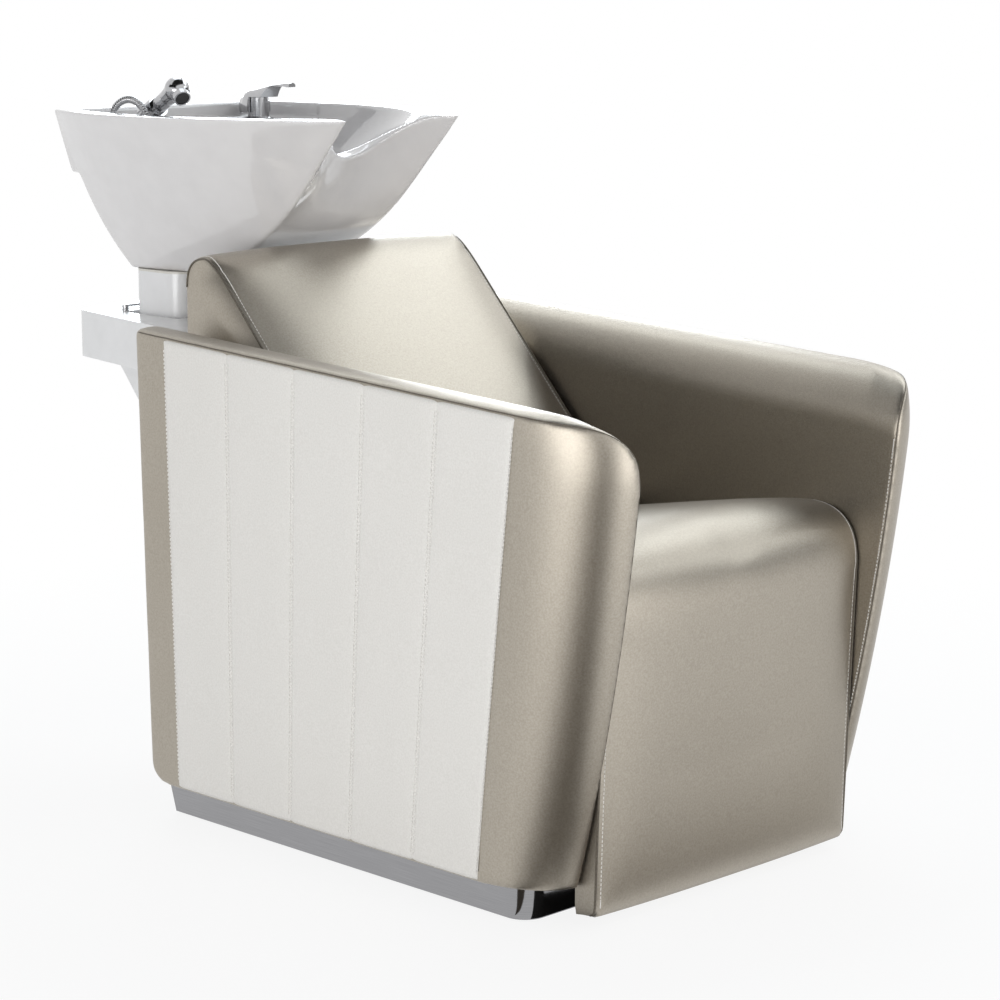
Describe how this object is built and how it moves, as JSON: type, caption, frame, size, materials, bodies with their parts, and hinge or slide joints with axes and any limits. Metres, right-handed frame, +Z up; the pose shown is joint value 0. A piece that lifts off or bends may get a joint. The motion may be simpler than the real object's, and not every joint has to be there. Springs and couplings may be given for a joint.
{
  "type": "salon backwash unit",
  "caption": "Salon backwash unit: padded shampoo chair with quilted arms and a tilting ceramic basin on a rear column, with a lever mixer and a hand shower.",
  "frame": {"origin": "on the floor under the middle of the unit's bounding box", "axes": "+Z up, the sitter faces -Y, the basin is towards +Y, X across the chair"},
  "size_m": [0.652, 1.211, 0.988],
  "materials": {
    "taupe_leather": "satin",
    "cream_leather": "satin",
    "plywood": "matte",
    "polished_steel": "polished",
    "dark_steel": "satin",
    "white_plastic": "gloss",
    "ceramic": "gloss",
    "black_rubber": "matte",
    "nylon": "satin",
    "chrome": "polished"
  },
  "bodies": {
    "chair": {"arm_board_left": "plywood", "arm_board_right": "plywood", "arm_pad_left": "taupe_leather", "arm_pad_right": "taupe_leather", "back_bearer": "plywood", "back_board": "plywood", "back_cheek_left": "taupe_leather", "back_cheek_right": "taupe_leather", "back_pad": "taupe_leather", "back_panel": "taupe_leather", "base_frame": "dark_steel", "floor_plate": "dark_steel", "housing_body": "white_plastic", "housing_shelf": "white_plastic", "levelling_feet": "black_rubber", "plinth_skirt": "polished_steel", "seat_board": "plywood", "seat_front_bearer": "plywood", "seat_pad": "taupe_leather", "seat_rear_bearer": "plywood", "side_panel_left": "cream_leather", "side_panel_right": "cream_leather", "skirt_board": "plywood", "support_post": "dark_steel", "tilt_fork": "dark_steel", "tilt_pins": "chrome"},
    "tilting_basin": {"basin": "ceramic", "basin_gasket": "nylon", "neck_cover": "white_plastic", "tilt_yoke": "dark_steel", "tilt_bushes": "nylon", "drain_waste": "chrome", "drain_nut": "chrome", "mixer_body": "chrome", "mixer_nut": "chrome", "spray_holder": "chrome", "hose_ferrule": "chrome", "spray_hose": "chrome"},
    "mixer_swivel": {"mixer_stem": "chrome"},
    "mixer_handle": {"mixer_lever": "chrome"},
    "hand_shower": {"spray_handle": "chrome", "spray_head": "chrome", "spray_face": "black_rubber"},
    "strainer": {"hair_strainer": "chrome"},
    "hatch": {"service_hatch": "white_plastic"},
    "tilt_lock": {"tilt_lock_lever": "chrome"}
  },
  "joints": [
    {"name": "basin_tilt", "type": "hinge", "parent": "chair", "child": "tilting_basin", "pos_m": [0, 0.437, 0.606], "axis": [-1, 0, 0], "range_deg": [0, 12]},
    {"name": "mixer_turn", "type": "hinge", "parent": "tilting_basin", "child": "mixer_swivel", "pos_m": [0.134, 0.508, 0.948], "axis": [0, 0, 1], "range_deg": [-45, 45]},
    {"name": "mixer_lift", "type": "hinge", "parent": "mixer_swivel", "child": "mixer_handle", "pos_m": [0.134, 0.508, 0.948], "axis": [-1, 0, 0], "range_deg": [0, 12]},
    {"name": "shower_pull", "type": "slide", "parent": "tilting_basin", "child": "hand_shower", "axis": [0, -0.866, 0.5], "range_m": [0, 0.15]},
    {"name": "strainer_lift", "type": "slide", "parent": "tilting_basin", "child": "strainer", "axis": [0, 0, 1], "range_m": [0, 0.06]},
    {"name": "hatch_off", "type": "slide", "parent": "chair", "child": "hatch", "axis": [0, 1, 0], "range_m": [0, 0.1]},
    {"name": "lock_turn", "type": "hinge", "parent": "chair", "child": "tilt_lock", "pos_m": [-0.118, 0.513, 0.652], "axis": [0, 0, 1], "range_deg": [-30, 30]}
  ]
}
